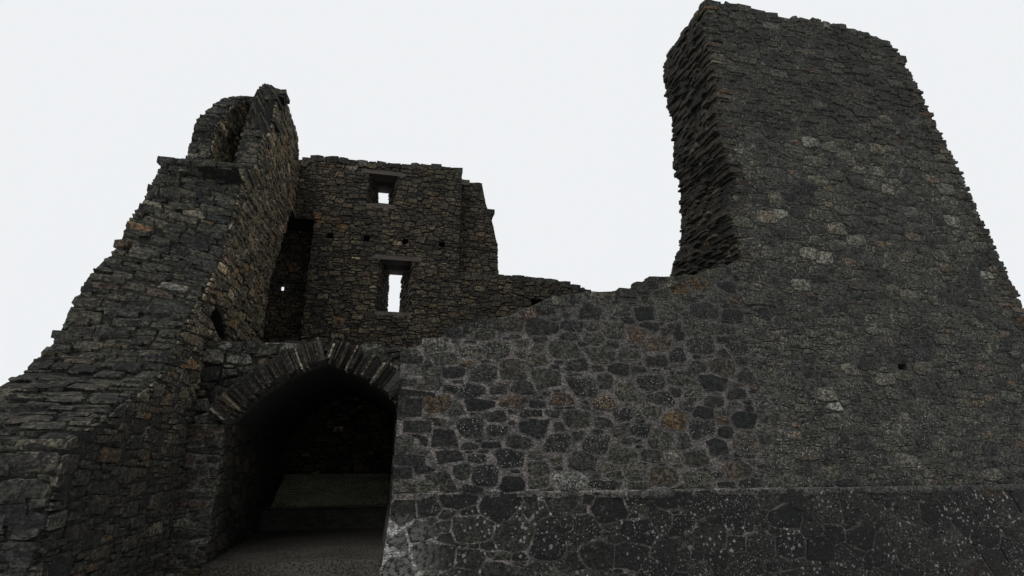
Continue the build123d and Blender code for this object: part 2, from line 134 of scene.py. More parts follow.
class Paint:  # one material and its nodes
    def __init__(self, name):
        self.material = bpy.data.materials.new(name)
        self.material.use_nodes = True
        self.tree = self.material.node_tree
        self.shader = self.tree.nodes["Principled BSDF"]
        self.place = self.node("ShaderNodeTexCoord", {}, {}, "Object")
        self.across, self.depth, self.height = (
            self.node("ShaderNodeSeparateXYZ", {}, {0: self.place}, axis) for axis in range(3)
        )

    def node(self, kind, settings, inputs, output=0):
        made = self.tree.nodes.new(kind)
        for key, setting in settings.items():
            if key == "stops":
                self.setStops(made.color_ramp, setting)
            else:
                setattr(made, key, setting)
        for key, given in inputs.items():
            self.feed(made.inputs[key], given)
        return Value(self, made.outputs[output])

    def setStops(self, ramp, stops):
        while len(ramp.elements) < len(stops):
            ramp.elements.new(0.5)
        for element, (position, colour) in zip(ramp.elements, stops):
            element.position = position
            element.color = (*colour, 1)

    def feed(self, socket, given):
        if isinstance(given, Value):
            self.tree.links.new(given.socket, socket)
        elif isinstance(given, tuple) and len(given) == 3 and socket.type == "RGBA":
            socket.default_value = (*given, 1)
        else:
            socket.default_value = given

    def mix(self, share, first, second, blend="MIX"):
        return self.node(
            "ShaderNodeMix",
            {"data_type": "RGBA", "blend_type": blend, "clamp_factor": True},
            {0: share, 6: first, 7: second},
            2,
        )

    def tinted(self, colour, tint):
        return self.mix(1.0, colour, tint, "MULTIPLY")

    def noise(self, scale, detail=3.0, rough=0.55, place=None):
        return self.node(
            "ShaderNodeTexNoise",
            {},
            {"Vector": place or self.place, "Scale": scale, "Detail": detail, "Roughness": rough},
        )

    def cells(self, scale, place=None):  # distance to the nearest of many scattered points
        return self.node(
            "ShaderNodeTexVoronoi",
            {"feature": "F1"},
            {"Vector": place or self.place, "Scale": scale, "Randomness": 1.0},
            "Distance",
        )

    def step(self, value, start, end):  # smooth step from 0 at start to 1 at end
        return self.node(
            "ShaderNodeMapRange",
            {"interpolation_type": "SMOOTHSTEP"},
            {0: value, 1: start, 2: end, 3: 0.0, 4: 1.0},
        )

    def fall(self, value, start, end):  # the same from 1 to 0
        return 1.0 - self.step(value, start, end)

    def squeezed(self, scale):  # object coordinates stretched into flat layers
        return self.node("ShaderNodeMapping", {}, {"Vector": self.place, "Scale": scale})

    def finish(self, colour, values, height=None):
        self.feed(self.shader.inputs["Base Color"], colour)
        self.feed(self.shader.inputs["Roughness"], values["rough"])
        self.shader.inputs["Specular IOR Level"].default_value = 0.25
        if height is not None:
            strength, distance = values["bump"]
            bump = self.node(
                "ShaderNodeBump",
                {},
                {"Strength": strength, "Distance": distance, "Height": height},
            )
            self.feed(self.shader.inputs["Normal"], bump)
        return self.material


# In every finish, bump is the strength and depth of the relief, lichen the share of the spots,
# and a pair of tints is what a colour is multiplied by at one end of a pattern and at the other.

lichenColour = (0.36, 0.365, 0.34)

mortarFinish = {
    "dark": (0.048, 0.048, 0.047),
    "pale": (0.131, 0.117, 0.108),
    "washed": (0.038, 0.038, 0.034),  # joints that have lost their mortar, high on the walls
    "bare": (0.010, 0.010, 0.009),  # the same on the left and back walls and inside the keep, drawn near black: painted shade in their deep joints
    "damp": (0.008, 0.008, 0.007),  # painted shade under the vault, near black
    "foot": (0.021, 0.021, 0.020),  # in places between the stones of the footing
    "ledge": (0.2, 0.195, 0.18),  # in places along the top of the footing
    "pier": (0.088, 0.081, 0.070),
    "limewash": (0.33, 0.33, 0.31),  # a patch left at the foot of the jamb
    "grit": ((1.5, 1.5, 1.5), (0.5, 0.5, 0.5)),
    "lichen": 0.8,
    "rough": 0.95,
    "bump": (0.9, 0.03),
}

crustAndRimHighlight = dict(mortarFinish, washed=(0.078, 0.080, 0.070), bare=(0.056, 0.056, 0.046))  # mortar on stones, paler than in the joints high up and on the left and back walls: partly painted highlight on the stones' rims

stoneFinish = {
    "tones": [  # colour by the random tone of each stone
        (0.00, (0.0105, 0.0110, 0.0113)),
        (0.14, (0.0158, 0.0161, 0.0156)),
        (0.32, (0.0250, 0.0260, 0.0225)),
        (0.50, (0.0370, 0.0370, 0.0310)),
        (0.66, (0.0220, 0.0225, 0.0195)),
        (0.76, (0.0400, 0.0345, 0.0280)),
        (0.84, (0.0460, 0.0340, 0.0270)),
        (0.90, (0.0500, 0.0345, 0.0190)),
        (0.96, (0.0620, 0.0620, 0.0550)),
        (1.00, (0.1000, 0.0990, 0.0900)),
    ],
    "beds": ((0.38, 0.38, 0.40), (1.65, 1.63, 1.57)),
    "grit": ((0.42, 0.42, 0.42), (1.75, 1.75, 1.72)),
    "zones": ((0.76, 0.80, 0.81), (1.29, 1.23, 1.16)),
    "deep": (0.66, 0.66, 0.68),  # tint at the far end of the footing
    "warmth": (1.32, 1.0, 0.72),  # tint of the brown walls
    "specks": (0.31, 0.315, 0.295),
    "lichen": 0.9,
    "rough": 0.9,
    "bump": (1.0, 0.045),
}

gravelFinish = {
    "dark": (0.014, 0.012, 0.010),
    "pale": (0.047, 0.043, 0.034),
    "raised": (9.0, 9.4, 8.4),  # painted light on the platform: a tint much paler than the floor
    "rough": 0.95,
    "bump": (0.8, 0.02),
}

slabFinish = {
    "colours": {
        "lintel_stone": ((0.034, 0.028, 0.024), (0.062, 0.051, 0.044)),
        "slab_stone": ((0.012, 0.012, 0.010), (0.034, 0.032, 0.028)),
    },
    "grit": ((0.62, 0.62, 0.62), (1.5, 1.5, 1.48)),
    "lichen": 0.5,
    "rough": 0.88,
    "bump": (0.5, 0.015),
}


def weather(paint, colour, lichen):
    # pale lichen in spots of all sizes, clustered on the footing, with a few specks higher up
    low = paint.fall(paint.height, footingTop - 0.2, footingTop + 0.1)
    east = paint.step(paint.across, jamb - 0.1, jamb + 1.4)
    cluster = paint.step(paint.noise(1.3), 0.44, 0.56)
    size = paint.noise(3.3, 3.0, 0.7)
    edge = paint.noise(30.0, 4.0, 0.8)
    dot = paint.fall(paint.cells(13.0) + edge * 0.6 - size, -0.05, 0.04)
    bloom = paint.step(paint.noise(22.0, 6.0, 0.8), 0.6, 0.68)
    share = (dot + bloom * 0.5) * (low * (cluster * 0.6 + 0.2) * east + cluster * 0.06) * lichen
    return paint.mix(share, colour, lichenColour)


def washPatch(paint, ragged):
    # where limewash still clings, at the foot of the jamb
    near = paint.fall(paint.across + ragged * 0.6, jamb + 0.5, jamb + 1.2)
    beyond = paint.step(paint.across, jamb - 0.17, jamb - 0.14)
    low = paint.fall(paint.height + ragged * 0.6, footingTop - 0.15, footingTop + 0.1)
    return near * beyond * low * paint.step(paint.noise(14.0, 5.0, 0.7), 0.42, 0.55) * 0.9


def limeColour(paint, values):
    # lime mortar: pale in the low front wall, grey higher up, nearly gone on the other walls
    across, depth, height = paint.across, paint.depth, paint.height
    coarse = paint.noise(4.5, 4.0, 0.6)
    colour = paint.mix(paint.step(coarse, 0.36, 0.6), values["dark"], values["pale"])
    high = paint.step(height + coarse * 1.6, floorLevel + 3.4, floorLevel + 5.0)
    east = paint.step(across + coarse * 1.5, lowWallEnd + 0.3, lowWallEnd + 1.6)
    colour = paint.mix(high * 0.8 + east * 0.8, colour, values["washed"])
    far = paint.step(across + coarse * 1.5, jamb + 2.2, jamb + 4.4)
    colour = paint.mix(far * 0.35, colour, values["washed"])
    foot = paint.step(across, jamb + 0.8, jamb + 2.0)
    foot = foot * paint.fall(height, footingTop - 0.1, footingTop - 0.06)
    foot = foot * paint.step(paint.noise(2.4), 0.42, 0.52)
    colour = paint.mix(foot * 0.7, colour, values["foot"])
    ledge = paint.step(height, footingTop - 0.03, footingTop - 0.005)
    ledge = ledge * paint.fall(height, footingTop + 0.02, footingTop + 0.06) * paint.step(coarse, 0.4, 0.55)
    ledge = ledge * paint.fall(across, lowWallEnd - 2.0, lowWallEnd + 3.0)
    colour = paint.mix(ledge * 0.6, colour, values["ledge"])
    # painted shade: near-black joints west of the jamb and behind the front face
    west = paint.fall(across, jamb - 0.4, jamb - 0.2)
    inside = paint.step(depth, frontFace + 0.1, frontFace + 0.5)
    colour = paint.mix(west * 0.9 + inside, colour, values["bare"])
    pier = paint.step(across, leftInner, leftInner + 0.05) * paint.fall(across, pierEnd - 0.02, pierEnd)
    pier = pier * paint.fall(depth, pierFront + 0.02, pierFront + 0.06)
    colour = paint.mix(pier, colour, values["pier"])
    # painted shade: mortar under the vault drawn near black
    under = paint.step(depth, frontFace + 0.25, frontFace + 0.9)
    under = under * paint.fall(across, jamb - 0.02, jamb + 0.02)
    under = under * paint.fall(height, floorLevel + 2.6, floorLevel + 2.8)
    colour = paint.mix(under, colour, values["damp"])
    return paint.mix(washPatch(paint, coarse), colour, values["limewash"])


def stoneMaterial(name, values):
    paint = Paint(name)
    tone, edge, light, brown = (
        paint.node("ShaderNodeAttribute", {"attribute_name": layer}, {}, "Fac") for layer in stoneLayers
    )
    colour = paint.node("ShaderNodeValToRGB", {"stops": values["tones"]}, {0: tone})
    grain = paint.noise(12.0, 5.0, 0.75)
    fine = paint.noise(24.0, 4.0, 0.8)
    zone = paint.noise(1.7, 3.0, 0.6)
    beds = paint.noise(9.0, 4.0, 0.6, paint.squeezed((1.0, 1.0, 5.0)))
    shade = paint.step(grain * 0.5 + beds * 0.5, 0.36, 0.64)
    colour = paint.tinted(colour, paint.mix(shade, *values["beds"]))
    colour = paint.mix(brown, colour, paint.tinted(colour, values["warmth"]))
    # mortar crust, mostly at a stone's rim: partly real mortar, partly painted highlight
    lime = edge + (grain - 0.5) * 1.4 + (fine - 0.5) * 0.9 + (zone - 0.5) * 0.8
    colour = paint.mix(paint.step(lime, 0.62, 0.76) * 0.85, colour, limeColour(paint, crustAndRimHighlight))
    colour = paint.tinted(colour, paint.mix(paint.step(fine, 0.41, 0.59), *values["grit"]))
    colour = paint.tinted(colour, paint.mix(paint.step(zone, 0.36, 0.64), *values["zones"]))
    deep = paint.fall(paint.height, footingTop - 0.05, footingTop)
    deep = deep * paint.step(paint.across, jamb + 1.5, jamb + 3.5)
    colour = paint.mix(deep, colour, paint.tinted(colour, values["deep"]))
    # dots of lichen on some stones of the front, told apart by the last digits of their tone
    some = paint.node("ShaderNodeMath", {"operation": "FRACT"}, {0: tone * 37.0})
    some = paint.step(some, 0.45, 0.7) * paint.fall(paint.height, floorLevel + 2.6, floorLevel + 4.6)
    some = some * paint.step(paint.across, jamb, jamb + 1.0)
    dots = paint.fall(paint.cells(26.0) + grain * 0.7, 0.5, 0.6) * some * paint.step(edge, 0.7, 0.3)
    colour = paint.mix(dots * 0.8, colour, values["specks"])
    colour = paint.mix(washPatch(paint, grain) * 0.6, colour, mortarFinish["limewash"])
    colour = weather(paint, colour, values["lichen"])
    # the colour scaled by each stone's light, which on some faces is painted light and shade
    lit = paint.node("ShaderNodeVectorMath", {"operation": "SCALE"}, {0: colour, "Scale": light})
    return paint.finish(lit, values, grain + beds * 0.6 + fine * 0.4)


def mortarMaterial(name, values):
    paint = Paint(name)
    pebbles = paint.cells(24.0, paint.squeezed((1.0, 1.0, 1.8)))
    grain = paint.noise(12.0, 5.0, 0.75)
    fine = paint.noise(24.0, 4.0, 0.8)
    grit = paint.mix(paint.step(fine * 0.7 + pebbles * 0.4, 0.36, 0.66), *values["grit"])
    colour = weather(paint, paint.tinted(limeColour(paint, values), grit), values["lichen"])
    return paint.finish(colour, values, pebbles * -0.6 + grain * 0.6 + fine * 0.4)


def gravelMaterial(name, values):
    paint = Paint(name)
    grit = paint.noise(44.0, 2.0, 0.6, paint.squeezed((1.0, 0.45, 1.0)))
    drift = paint.noise(2.0)
    colour = paint.mix(paint.step(grit * 0.8 + drift * 0.3, 0.47, 0.63), values["dark"], values["pale"])
    # painted shade: the floor further into the chamber drawn darker
    deep = paint.step(paint.depth, frontFace + 0.6, frontFace + 2.6)
    deep = deep * paint.fall(paint.height, floorLevel + 0.1, floorLevel + 0.2)
    colour = paint.mix(deep * 0.6, colour, values["dark"])
    # painted light: the gravel on the platform drawn much paler
    raised = paint.step(paint.height, floorLevel + 0.1, floorLevel + 0.2)
    raised = raised * paint.fall(paint.height, floorLevel + 1.5, floorLevel + 1.6)
    colour = paint.mix(raised, colour, paint.tinted(colour, values["raised"]))
    return paint.finish(colour, values, grit)


def slabMaterial(name, values):
    paint = Paint(name)
    layers = paint.noise(5.0, 5.0, 0.6, paint.squeezed((1.0, 1.0, 3.0)))
    fine = paint.noise(36.0, 5.0, 0.85)
    colour = paint.mix(paint.step(layers, 0.3, 0.7), *values["colours"][name])
    colour = paint.tinted(colour, paint.mix(paint.step(fine, 0.35, 0.68), *values["grit"]))
    return paint.finish(weather(paint, colour, values["lichen"]), values, layers * 0.7 + fine * 0.3)


stoneLayers = ("tone", "edge", "light", "brown")  # what each vertex of a stone says about its looks; its light is partly painted light and shade
mortar = mortarMaterial("limeMortar", mortarFinish)
fieldStone = stoneMaterial("fieldStone", stoneFinish)
slabs = {slot: slabMaterial(slot, slabFinish) for slot in slabFinish["colours"]}
slabs["gravel"] = gravelMaterial("gravel", gravelFinish)
for name, node in nodes.items():
    node.data.materials.clear()
    node.data.materials.append(slabs[slabNodes[name]] if name in slabNodes else mortar)
    if name in gravelTops:
        node.data.materials.append(slabs["gravel"])
        for polygon in node.data.polygons:
            polygon.material_index = 1 if polygon.normal.z > 0.5 else 0
print("materials made")

# The walls as solids that can be felt for

oddWay = Vector((0.137, 0.271, 0.953)).normalized()
trees = {}
for name, node in nodes.items():
    corners = [vertex.co.copy() for vertex in node.data.vertices]
    sides = [tuple(polygon.vertices) for polygon in node.data.polygons]
    trees[name] = BVHTree.FromPolygons(corners, sides)
rubbleNodes = [name for name in sorted(nodes) if name not in slabNodes]


def holds(name, point):
    low, high = nodeBox[name]
    if not (low.x <= point.x <= high.x and low.y <= point.y <= high.y and low.z <= point.z <= high.z):
        return False
    hits = 0
    start = point
    while True:
        spot = trees[name].ray_cast(start, oddWay)[0]
        if spot is None:
            return hits % 2 == 1
        hits += 1
        start = spot + oddWay * 1e-4


def nearPlane(names, normal, reach):
    # nodes whose box comes up to a plane
    found = []
    for name in names:
        low, high = nodeBox[name]
        ends = [
            normal.dot(Vector((x, y, z))) - reach
            for x in (low.x, high.x)
            for y in (low.y, high.y)
            for z in (low.z, high.z)
        ]
        if min(ends) < stoneWork["touch"] and max(ends) > -stoneWork["touch"]:
            found.append(name)
    return found


kept = []  # boxes kept for the quoins, as pairs of corners


def taken(point):
    for low, high in kept:
        if low.x < point.x < high.x and low.y < point.y < high.y and low.z < point.z < high.z:
            return True
    return False


class Plane:  # one flat face of the walls, which may run over several nodes
    style = None

    def __init__(self, normal, reach):
        self.normal = normal
        self.reach = reach
        self.area = 0.0
        self.extents = {}

    def settle(self):
        self.right = Vector((0, 0, 1)).cross(self.normal).normalized()
        self.up = self.normal.cross(self.right)
        self.behind = nearPlane(rubbleNodes, self.normal, self.reach)
        self.before = nearPlane(sorted(nodes), self.normal, self.reach)
        self.origin = self.normal * self.reach
        self.bounds = {}
        for name, corners in self.extents.items():
            across = [corner.dot(self.right) for corner in corners]
            above = [(corner - self.origin).dot(self.up) for corner in corners]
            self.bounds[name] = (min(across), max(across), min(above), max(above))

    def aim(self, seed):
        pass

    def carries(self, name, seed):
        return holds(name, self.spot(seed) - self.normal * stoneWork["probe"])

    def spot(self, flat):
        return self.origin + self.right * flat.x + self.up * flat.y

    def shows(self, flat):
        point = self.spot(flat)
        if point.z < 0.004 or taken(point):
            return False
        inner = point - self.normal * stoneWork["probe"]
        if not any(holds(name, inner) for name in self.behind):
            return False
        outer = point + self.normal * stoneWork["probe"]
        return not any(holds(name, outer) for name in self.before)


def flatFaces(names):
    # the upright faces of the walls, gathered into planes; square ones may lean back a little
    planes = []
    for name in names:
        mesh = nodes[name].data
        for polygon in mesh.polygons:
            upright = abs(polygon.normal.z) < 0.01
            straight = max(abs(polygon.normal.x), abs(polygon.normal.y)) > 0.995
            if polygon.area < 1e-4 or not (upright or straight):
                continue
            normal = polygon.normal.copy()
            reach = normal.dot(polygon.center)
            for plane in planes:
                if plane.normal.dot(normal) > 0.99999 and abs(plane.reach - reach) < 0.006:
                    break
            else:
                plane = Plane(normal, reach)
                planes.append(plane)
            plane.area += polygon.area
            corners = [mesh.vertices[index].co.copy() for index in polygon.vertices]
            plane.extents.setdefault(name, []).extend(corners)
    planes = [plane for plane in planes if plane.area > stoneWork["leastFace"]]
    for plane in planes:
        plane.settle()
    return planes


def firstHit(start, way):
    # the nearest spot on the walls along a way, with its node and its normal
    nearest, nearestName, nearestNormal = None, None, None
    for name in rubbleNodes:
        spot, normal, _, distance = trees[name].ray_cast(start, way)
        if spot is not None and (nearest is None or distance < (nearest - start).length):
            nearest, nearestName, nearestNormal = spot, name, normal
    return nearest, nearestName, nearestNormal


class Drape(Plane):  # a broken face: stones lie where rays from a plane in front of it meet it
    def __init__(self, names, start, up, size, style):
        self.names = names
        self.right = Vector((1, 0, 0))
        self.up = up.normalized()
        self.normal = self.right.cross(self.up)
        self.origin = start + self.normal * stoneWork["standOff"]
        self.bounds = {names[0]: (0, size[0], 0, size[1])}
        self.style = style
        self.depth = None

    def aim(self, seed):
        self.depth = (self.spot(seed) - self.origin).dot(self.normal)

    def carries(self, name, seed):
        return True

    def spot(self, flat):
        start = self.origin + self.right * flat.x + self.up * flat.y
        return firstHit(start, -self.normal)[0]

    def shows(self, flat):
        start = self.origin + self.right * flat.x + self.up * flat.y
        spot, name, normal = firstHit(start, -self.normal)
        if spot is None or name not in self.names or normal.dot(self.normal) < 0.2 or taken(spot):
            return False
        if abs(normal.z) < 0.01 and max(abs(normal.x), abs(normal.y)) > 0.995:
            return False
        return self.depth is None or abs((spot - self.origin).dot(self.normal) - self.depth) < 0.16


# How the stones of each kind of wall are laid. Sizes: how common, height in courses, length to height.
# Proud: how far they stand out of the mortar. Square: how straight their joints run. Pale, warm and
# bigPale: how common such stones are, the last among large ones. Tones: lowest, highest, and how much
# darker ones prevail. Lime: how much mortar clings at a stone's rim, round its face and at its middle;
# where it is drawn paler than the joints, the pale rims are partly painted highlight.

usualStones = {  # what holds for a kind that doesn't say otherwise
    "joint": 0.012, "rim": 0.006, "dome": 0.006, "rounded": False, "ragged": 0.14,
    "light": 1.0, "brown": 0.0, "missing": 0.0, "bigPale": 0.0,
    "tones": (0.0, 0.72, 1.0), "paleTones": (0.93, 0.965), "warmTones": (0.76, 0.92),
}
roundRubble = {
    **usualStones, "course": 0.148, "joint": 0.018, "proud": (0.002, 0.022), "rim": 0.014, "dome": 0.010,
    "sizes": ((0.12, 2.5, 1.3), (0.35, 1.7, 1.7), (0.7, 1.05, 2.2), (1.0, 0.58, 3.2), (1.0, 0.35, 4.2)),
    "square": 0.5, "rounded": True, "ragged": 0.19, "pale": 0.004, "warm": 0.10, "tones": (0.0, 0.72, 1.5),
    "lime": (0.9, 0.3, 0.0), "light": 0.85,
}
footingRubble = {
    **usualStones, "course": 0.22, "joint": 0.010, "proud": (0.002, 0.018), "rim": 0.012, "dome": 0.008,
    "sizes": ((0.5, 2.0, 1.3), (0.8, 1.25, 1.5), (0.9, 0.6, 2.0), (0.9, 0.32, 2.8)),
    "square": 0.25, "ragged": 0.1, "pale": 0.0, "warm": 0.02, "tones": (0.0, 0.66, 1.4),
    "lime": (0.7, 0.18, 0.0), "light": 0.56,
}
smallRubble = {
    **usualStones, "course": 0.100, "joint": 0.015, "proud": (0.0, 0.034), "rim": 0.008, "dome": 0.007,
    "sizes": ((0.06, 3.0, 1.5), (0.3, 1.8, 1.8), (0.8, 1.05, 2.3), (1.0, 0.55, 3.2)),
    "square": 0.6, "rounded": True, "pale": 0.005, "warm": 0.06, "bigPale": 0.12, "tones": (0.05, 0.72, 1.0),
    "lime": (0.85, 0.42, 0.16), "light": 1.06,
}
thinSlabs = {
    **usualStones, "course": 0.072, "proud": (0.0, 0.042),
    "sizes": ((0.05, 3.2, 1.7), (0.22, 1.9, 2.2), (0.8, 1.15, 2.9), (0.9, 0.7, 4.2)),
    "square": 0.7, "pale": 0.005, "warm": 0.03, "bigPale": 0.16, "tones": (0.16, 0.72, 1.0),
    "lime": (0.85, 0.46, 0.24), "light": 0.74,
}
boulderRubble = {
    **usualStones, "course": 0.12, "joint": 0.016, "proud": (0.002, 0.034), "rim": 0.012, "dome": 0.013,
    "sizes": ((0.14, 2.6, 1.3), (0.35, 1.9, 1.6), (0.7, 1.2, 2.0), (1.0, 0.7, 2.7), (1.0, 0.42, 3.6)),
    "square": 0.5, "rounded": True, "pale": 0.01, "warm": 0.08, "bigPale": 0.2, "tones": (0.04, 0.72, 1.0),
    "lime": (0.85, 0.42, 0.14), "light": 1.16,
}
leftSlabs = {
    **usualStones, "course": 0.080, "proud": (0.003, 0.040),
    "sizes": ((0.08, 2.3, 1.8), (0.8, 1.1, 3.0), (0.9, 0.6, 4.4)),
    "square": 0.75, "pale": 0.015, "warm": 0.04, "lime": (0.7, 0.3, 0.1), "light": 0.76,
}
backRubble = {
    **usualStones, "course": 0.080, "joint": 0.013, "proud": (0.002, 0.030),
    "sizes": ((0.10, 2.1, 1.6), (0.8, 1.15, 2.5), (0.9, 0.65, 3.6)),
    "square": 0.65, "pale": 0.01, "warm": 0.03, "lime": (0.6, 0.38, 0.22), "light": 1.25, "brown": 0.75,
}
rakedRubble = {
    **usualStones, "course": 0.076, "joint": 0.010, "proud": (0.0, 0.065), "rim": 0.010, "dome": 0.014,
    "sizes": ((0.08, 2.3, 1.9), (0.5, 1.4, 2.8), (0.9, 0.9, 3.8), (1.0, 0.55, 5.0)),
    "square": 0.75, "pale": 0.015, "warm": 0.02, "lime": (0.85, 0.4, 0.15), "light": 1.1, "brown": 0.2,
}
pierRubble = {
    **usualStones, "course": 0.115, "joint": 0.018, "proud": (0.0, 0.05), "rim": 0.018, "dome": 0.022,
    "sizes": ((0.8, 1.3, 2.6), (0.9, 0.9, 3.0), (0.9, 0.5, 3.2)),
    "square": 0.85, "rounded": True, "pale": 0.03, "warm": 0.4, "warmTones": (0.78, 0.86),
    "tones": (0.14, 0.6, 1.0), "lime": (0.5, 0.2, 0.1), "light": 0.85,
}
haunchRubble = {
    **usualStones, "course": 0.10, "joint": 0.016, "proud": (0.0, 0.085), "rim": 0.014, "dome": 0.022,
    "sizes": ((0.5, 2.7, 1.4), (0.7, 1.4, 1.9), (1.0, 0.7, 2.6)),
    "square": 0.45, "pale": 0.06, "warm": 0.12, "bigPale": 0.55, "paleTones": (0.975, 1.0),
    "tones": (0.0, 0.72, 1.4), "lime": (0.5, 0.3, 0.15), "light": 1.05, "brown": 0.15,
}

pieceNodes = {
    "frontWallStones": {
        "front_footing": footingRubble,
        "front_wall_low": roundRubble,
        "front_wall_east": smallRubble,
    },
    "tallWallStones": {
        "tall_wall_lower": boulderRubble,
        "tall_wall_upper": thinSlabs,
    },
    "leftWallStones": dict.fromkeys((
        "left_stub_wall", "left_wall_base", "left_wall_first_storey", "left_inner_leaf",
        "left_upper_leaf", "left_outer_leaf", "recess_side_wall",
    ), leftSlabs),
    "backWallStones": dict.fromkeys((
        "back_wall_base", "back_west_pier", "back_east_pier", "back_sill_wall", "back_wall_middle",
        "back_upper_west_pier", "back_upper_east_pier", "back_wall_head", "back_wall_low",
        "back_outer_leaf", "recess_back_leaf", "recess_head_wall",
    ), backRubble),
    "vaultStones": dict.fromkeys((
        "vault_west_wall", "vault_east_wall", "vault_west_haunch", "vault_east_haunch", "chamber_platform",
    ), smallRubble),
    "eastStones": dict.fromkeys(("back_wall_east", "back_wall_corner", "right_wall"), smallRubble),
}
styleOf = {name: style for group in pieceNodes.values() for name, style in group.items()}
pieceOf = {name: piece for piece, group in pieceNodes.items() for name in group}
stones = {piece: [] for piece in pieceNodes}
vaultTops = {"vault_west_haunch", "vault_east_haunch"}
stoneLimits = {
    "tries": 3,  # places tried for each stone that there is room for
    "closest": 0.78,  # how near two stones may lie, as a share of their radii
    "neighbours": 20,  # how many of them shape a stone
    "area": 0.0008,  # smaller faces are left out, in square metres
    "sliver": 0.3,  # and so are less compact ones, where 1 is a circle
}


def styleFor(plane, name):
    if plane.normal.y < -0.9 and name == "vault_west_wall":
        return pierRubble
    if plane.normal.y < -0.9 and name in vaultTops:
        return haunchRubble
    return plane.style or styleOf[name]


def toneOf(style, scale=1.0):
    throw = dice.random()
    if scale > 2.5 and throw < style["bigPale"]:
        return dice.uniform(*style["paleTones"])
    if throw < style["pale"]:
        return dice.uniform(0.96, 1.0)
    if throw < style["pale"] + style["warm"] * (1 if scale > 0.9 else 0.4):
        return dice.uniform(*style["warmTones"])
    lowest, highest, depth = style["tones"]
    return lowest + (highest - lowest) * dice.random() ** depth


def keepBehind(outline, middle, facing):
    # the part of an outline behind a line
    result = []
    for index, end in enumerate(outline):
        start = outline[index - 1]
        before = (start - middle).dot(facing)
        after = (end - middle).dot(facing)
        if (before < 0) != (after < 0):
            result.append(start.lerp(end, before / (before - after)))
        if after < 0:
            result.append(end)
    return result


def stoneCell(stone, others, style):
    # room for one stone between its neighbours, less half a joint all round
    seed, radius, stretch = stone["seed"], stone["radius"], stone["stretch"]
    wide = radius * stretch * dice.uniform(1.2, 1.5)
    tall = radius * dice.uniform(1.15, 1.4)
    skew = dice.uniform(-0.15, 0.15) * tall
    outline = [
        seed + Vector(corner)
        for corner in ((-wide, -tall - skew), (wide, -tall + skew), (wide, tall + skew), (-wide, tall - skew))
    ]
    for other in others:
        gap = other["seed"] - seed
        mean = (stretch + other["stretch"]) / 2
        facing = Vector((gap.x / mean**2, gap.y)).normalized()
        middle = (seed + other["seed"]) / 2
        slant = math.sin(middle.x * 57 + middle.y * 131) * 0.14  # from the joint's place: both sides agree
        if abs(gap.x) / mean > abs(gap.y):
            straight = Vector((math.copysign(1, gap.x), slant * math.copysign(1, gap.x)))
        else:
            straight = Vector((slant * math.copysign(0.5, gap.y), math.copysign(1, gap.y)))
        facing = facing.lerp(straight, style["square"]).normalized()
        share = radius / (radius + other["radius"])
        outline = keepBehind(outline, seed + gap * share - facing * style["joint"] / 2, facing)
        if len(outline) < 3:
            return []
    return outline


beamHole = {  # the small hole in the front wall, which no stone may reach over
    "fromTall": 3.08,  # its middle, from the left end of the tall wall
    "level": 2.815,  # its middle, over the chamber's floor
    "wide": 0.24,
    "tall": 0.15,
    "near": 0.7,  # stones further off can't reach it
}


def clearOfHole(outline, seed, plane, values):
    middle = Vector((lowWallEnd + values["fromTall"], floorLevel + values["level"]))
    gap = seed - middle
    elsewhere = plane.normal.y > -0.99 or abs(plane.reach + frontFace) > stoneWork["touch"]
    if elsewhere or gap.length > values["near"]:
        return outline
    side, end = math.copysign(1, gap.x), math.copysign(1, gap.y)
    corner = middle + Vector((side * values["wide"], end * values["tall"])) / 2
    beside = abs(gap.x) / values["wide"] > abs(gap.y) / values["tall"]
    return keepBehind(outline, corner, Vector((-side, 0)) if beside else Vector((0, -end)))


def tidied(outline, least):
    # drops corners that stand too close together
    result = []
    for index, corner in enumerate(outline):
        if (corner - outline[index - 1]).length > least:
            result.append(corner)
    return result if len(result) > 2 else []


def worn(outline, seed, style):
    # uneven edges, and on a rounded stone its corners cut off
    result = []
    outline = [corner.lerp(seed, dice.uniform(0, style["ragged"])) for corner in outline]
    cut = dice.choice((0.12, 0.2, 0.36))
    if style["rounded"]:
        longEdge, bends, places = 0.12, (-0.07, 0.05), (0.45, 0.55)
    else:
        longEdge, bends, places = 0.14, (-0.06, 0.06), (0.35, 0.65)
    for index, corner in enumerate(outline):
        after = outline[(index + 1) % len(outline)]
        if style["rounded"]:
            for beside in (outline[index - 1], after):
                result.append(corner.lerp(beside, dice.uniform(0.06, cut)))
        else:
            result.append(corner)
        edge = after - corner
        if edge.length > longEdge:
            bend = Vector((-edge.y, edge.x)) * dice.uniform(*bends)
            result.append(corner.lerp(after, dice.uniform(*places)) + bend)
    return result


def pulledIn(plane, seed, corner):
    # moves a corner that is off the face, or beyond a gap in it, back towards the middle of its stone
    near, far = 0.0, 0.0
    for share in (1 / 3, 2 / 3, 1.0) if (corner - seed).length > 0.15 else (1.0,):
        if not plane.shows(seed.lerp(corner, share)):
            far = share
            break
        near = share
    if not far:
        return corner
    for _ in range(5):
        half = (near + far) / 2
        if plane.shows(seed.lerp(corner, half)):
            near = half
        else:
            far = half
    return seed.lerp(corner, near)


def fitted(plane, seed, outline):
    # an outline whose corners and edges all stay on the face
    corners = [pulledIn(plane, seed, corner) for corner in outline]
    result = []
    for index, corner in enumerate(corners):
        middle = corners[index - 1].lerp(corner, 0.5)
        if (corner - corners[index - 1]).length > 0.1 and not plane.shows(middle):
            result.append(pulledIn(plane, seed, middle))
        result.append(corner)
    return result


def outlineArea(outline):
    return abs(sum(outline[index - 1].cross(corner) for index, corner in enumerate(outline))) / 2


